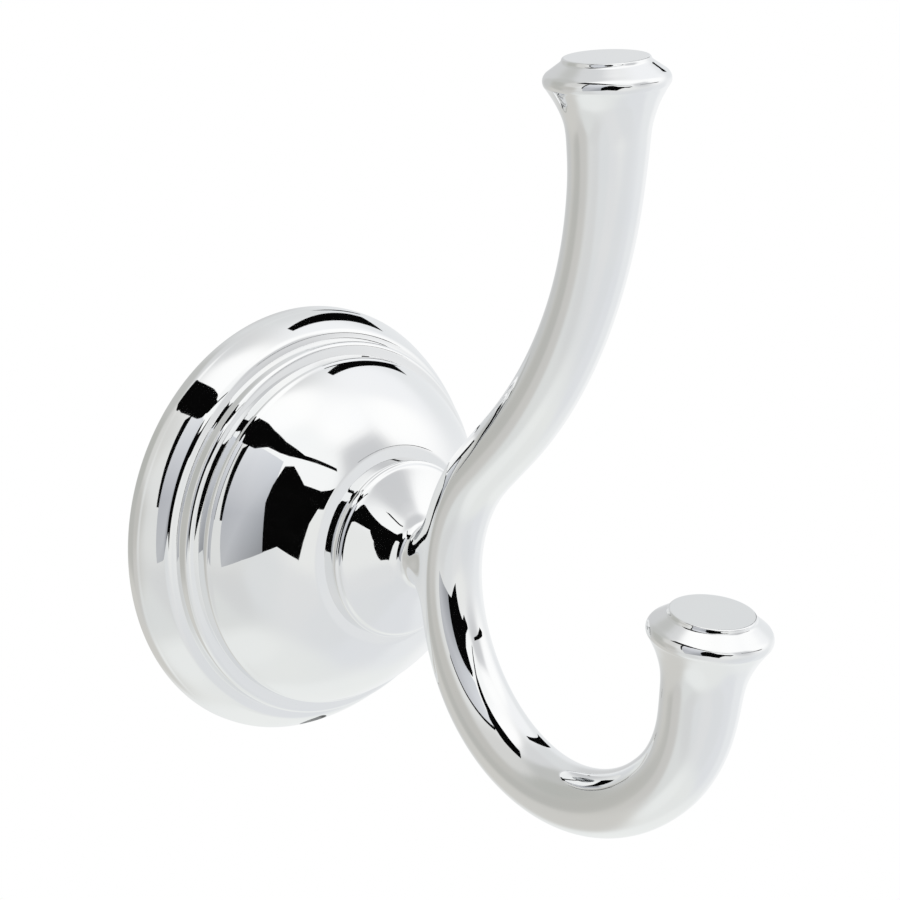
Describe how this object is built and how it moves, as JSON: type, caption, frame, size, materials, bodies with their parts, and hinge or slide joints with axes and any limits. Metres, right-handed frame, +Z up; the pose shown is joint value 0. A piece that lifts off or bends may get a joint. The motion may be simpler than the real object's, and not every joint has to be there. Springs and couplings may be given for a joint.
{
  "type": "double robe hook",
  "caption": "Wall-mounted double robe hook: a stepped round bell carries a cast hook whose upper and lower arms end in flared heads.",
  "frame": {"origin": "centre of the bell's back rim, in the plane that lies against the wall", "axes": "-Y straight out from the wall, +Z up, +X across the wall; the hook lies in the plane X = 0"},
  "size_m": [0.0642, 0.1025, 0.117],
  "materials": {
    "polished_chrome": "polished chrome plate on cast zinc",
    "cast_zinc": "plain cast zinc with a fine grain",
    "zinc_plated_steel": "bright zinc plated steel",
    "stainless_steel": "turned stainless steel"
  },
  "bodies": {
    "root": {"flange_bell": "polished_chrome", "hook_arm": "polished_chrome", "mounting_plate": "cast_zinc", "grub_screw": "stainless_steel", "clamp_screw": "zinc_plated_steel", "plain_washer": "zinc_plated_steel", "spring_washer": "zinc_plated_steel"}
  },
  "joints": []
}
